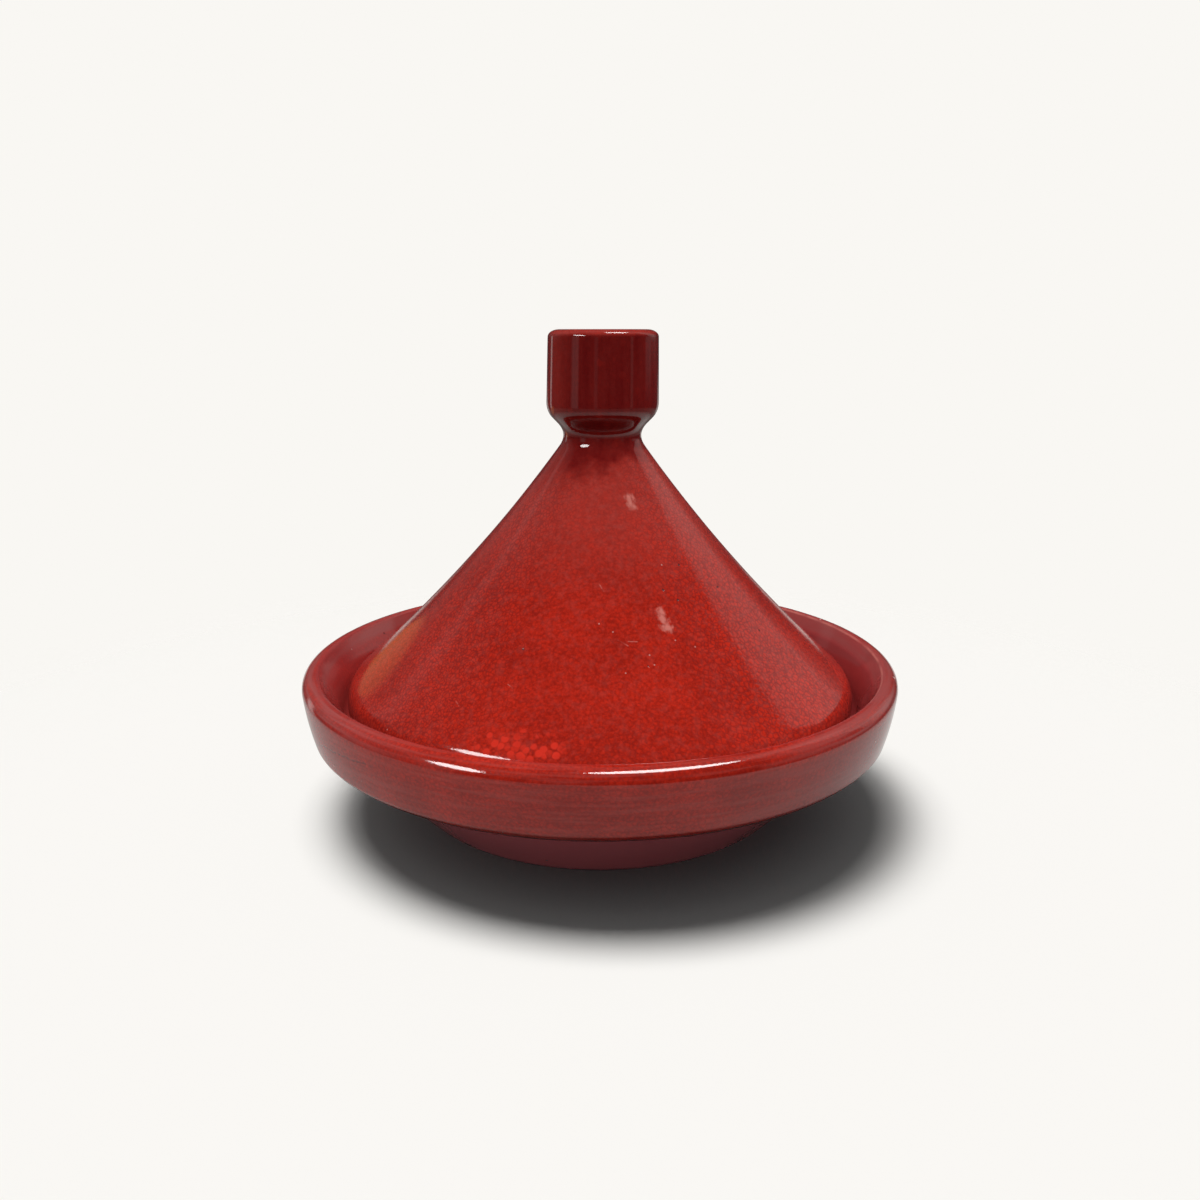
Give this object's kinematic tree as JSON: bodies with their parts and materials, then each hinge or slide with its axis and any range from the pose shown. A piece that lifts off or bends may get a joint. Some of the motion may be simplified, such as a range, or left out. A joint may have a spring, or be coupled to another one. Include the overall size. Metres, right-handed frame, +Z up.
{
  "type": "mini tagine",
  "caption": "Small glazed earthenware tagine: a round dish with a rounded rim and a foot ring, and a hollow conical lid with a cylindrical knob that lifts off its seat.",
  "frame": {"origin": "on the table, under the middle of the foot ring", "axes": "+Z up along the turning axis, through the middle of the knob; -Y towards the viewer of the picture"},
  "size_m": [0.12, 0.12, 0.0969],
  "materials": {
    "dish_glaze": "glossy deep red glaze over earthenware, bare clay on the foot ring",
    "lid_glaze": "glossy deep red glaze with fine crackle, thinner and darker on the knob"
  },
  "bodies": {
    "dish": {"base_dish": "dish_glaze"},
    "lid": {"conical_lid": "lid_glaze"}
  },
  "joints": [
    {"name": "lid_lift", "type": "slide", "parent": "dish", "child": "lid", "axis": [0, 0, 1], "range_m": [0, 0.1]}
  ]
}
